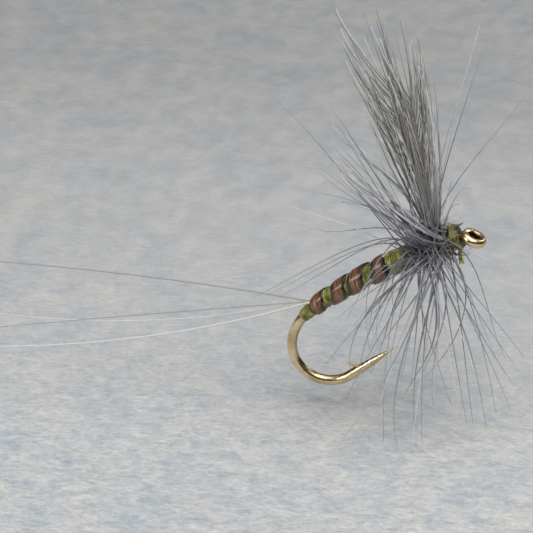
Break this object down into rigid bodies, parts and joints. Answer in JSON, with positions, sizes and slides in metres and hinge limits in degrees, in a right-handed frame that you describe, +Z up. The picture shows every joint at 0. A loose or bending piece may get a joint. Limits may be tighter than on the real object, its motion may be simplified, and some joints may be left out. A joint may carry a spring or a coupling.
{
  "type": "dry fly",
  "caption": "Artificial dry fly on a barbed down-eyed hook, with a quill body, thread wraps, long split tail fibres, an upright feather wing and a hackle collar.",
  "frame": {"origin": "middle of the fly's box at the level of the surface that the hackle tips stand on", "axes": "+X towards the hook's eye, +Z up, hook in the XZ plane"},
  "size_m": [0.0326, 0.0164, 0.0252],
  "materials": {
    "hook_wire": "polished",
    "olive_thread": "satin",
    "brown_quill": "gloss",
    "hackle_feather": "satin",
    "wing_feather": "satin",
    "tail_fibre": "gloss"
  },
  "bodies": {
    "dressed_hook": {"hook": "hook_wire", "thread_head": "olive_thread", "thread_end": "olive_thread", "thread_thorax": "olive_thread", "thread_underbody": "olive_thread", "thread_tag": "olive_thread", "body_quill": "brown_quill", "tail_butts": "tail_fibre", "wing_butts": "wing_feather", "hackle_butt": "hackle_feather", "hackle_turn_1": "hackle_feather", "hackle_turn_2": "hackle_feather", "hackle_turn_3": "hackle_feather", "hackle_turn_4": "hackle_feather", "hackle_turn_5": "hackle_feather", "hackle_turn_6": "hackle_feather"},
    "tail_1": {"tail_fibre_1": "tail_fibre"},
    "tail_2": {"tail_fibre_2": "tail_fibre"},
    "tail_3": {"tail_fibre_3": "tail_fibre"},
    "tail_4": {"tail_fibre_4": "tail_fibre"},
    "wing_near": {"wing_feather_near": "wing_feather"},
    "wing_far": {"wing_feather_far": "wing_feather"}
  },
  "joints": [
    {"name": "tail_1_flex", "type": "hinge", "parent": "dressed_hook", "child": "tail_1", "pos_m": [0.0041, 0.00002, 0.0066], "axis": [0, 1, 0], "range_deg": [-14, 25], "stiffness_Nm_per_rad": 0.000002},
    {"name": "tail_2_flex", "type": "hinge", "parent": "dressed_hook", "child": "tail_2", "pos_m": [0.0041, -0.00015, 0.0066], "axis": [0, 1, 0], "range_deg": [-7, 25], "stiffness_Nm_per_rad": 0.000002},
    {"name": "tail_3_flex", "type": "hinge", "parent": "dressed_hook", "child": "tail_3", "pos_m": [0.0041, -0.00032, 0.0066], "axis": [0, 1, 0], "range_deg": [-5.5, 25], "stiffness_Nm_per_rad": 0.000004},
    {"name": "tail_4_flex", "type": "hinge", "parent": "dressed_hook", "child": "tail_4", "pos_m": [0.0041, 0.00019, 0.0066], "axis": [0, 1, 0], "range_deg": [-5.5, 25], "stiffness_Nm_per_rad": 0.000002},
    {"name": "wing_near_flex", "type": "hinge", "parent": "dressed_hook", "child": "wing_near", "pos_m": [0.0112, -0.00023, 0.01166], "axis": [0, 1, 0], "range_deg": [-40, 20], "stiffness_Nm_per_rad": 0.00001},
    {"name": "wing_far_flex", "type": "hinge", "parent": "dressed_hook", "child": "wing_far", "pos_m": [0.0112, 0.0001, 0.01166], "axis": [0, 1, 0], "range_deg": [-40, 20], "stiffness_Nm_per_rad": 0.00001}
  ]
}
